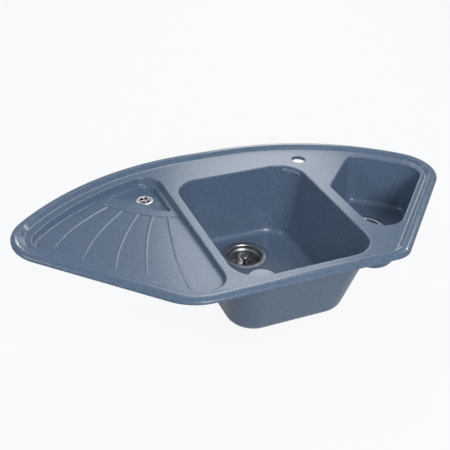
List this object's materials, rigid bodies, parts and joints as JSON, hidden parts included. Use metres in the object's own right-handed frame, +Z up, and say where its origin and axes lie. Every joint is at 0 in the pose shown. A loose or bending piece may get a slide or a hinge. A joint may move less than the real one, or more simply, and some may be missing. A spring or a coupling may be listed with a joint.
{
  "type": "corner kitchen sink",
  "caption": "Inset corner sink in speckled granite composite: ribbed drainer with drain well, deep main bowl, shallow half bowl, tap hole, lift-out basket strainers and overflow.",
  "frame": {"origin": "on the worktop plane, on the sink's line of symmetry, 12 mm behind the front edge of the rim", "axes": "+X to the right along the front edge, +Y back towards the room's corner, +Z up"},
  "size_m": [1.0398, 0.571, 0.2977],
  "materials": {
    "granite": "slate blue granite composite with fine light and dark speckles, satin",
    "stainless": "polished and turned stainless steel",
    "chrome": "bright chrome",
    "rubber": "matt black rubber",
    "white_plastic": "white moulded polypropylene",
    "blue_plastic": "moulded plastic in a tone lighter than the sink",
    "label": "plain pale vinyl"
  },
  "bodies": {
    "sink": {"sink_moulding": "granite", "main_waste_flange": "stainless", "main_upper_gasket": "rubber", "main_lower_gasket": "rubber", "main_waste_body": "white_plastic", "main_centre_screw": "stainless", "main_outlet_washer": "rubber", "main_outlet_nut": "white_plastic", "half_waste_flange": "stainless", "half_upper_gasket": "rubber", "half_lower_gasket": "rubber", "half_waste_body": "white_plastic", "half_centre_screw": "stainless", "half_outlet_washer": "rubber", "half_outlet_nut": "white_plastic", "well_grate": "chrome", "well_upper_gasket": "rubber", "well_lower_gasket": "rubber", "well_clamp_nut": "white_plastic", "well_outlet_tail": "white_plastic", "overflow_cover": "blue_plastic", "overflow_gasket": "rubber", "overflow_funnel": "white_plastic", "overflow_screw_right": "stainless", "overflow_screw_left": "stainless", "bowl_label": "label"},
    "main_basket_strainer": {"main_basket": "stainless", "main_basket_seal": "rubber", "main_basket_knob": "stainless"},
    "half_basket_strainer": {"half_basket": "stainless", "half_basket_seal": "rubber", "half_basket_knob": "stainless"}
  },
  "joints": [
    {"name": "main_basket_lift", "type": "slide", "parent": "sink", "child": "main_basket_strainer", "axis": [0, 0, 1], "range_m": [0, 0.06]},
    {"name": "half_basket_lift", "type": "slide", "parent": "sink", "child": "half_basket_strainer", "axis": [0, 0, 1], "range_m": [0, 0.06]}
  ]
}
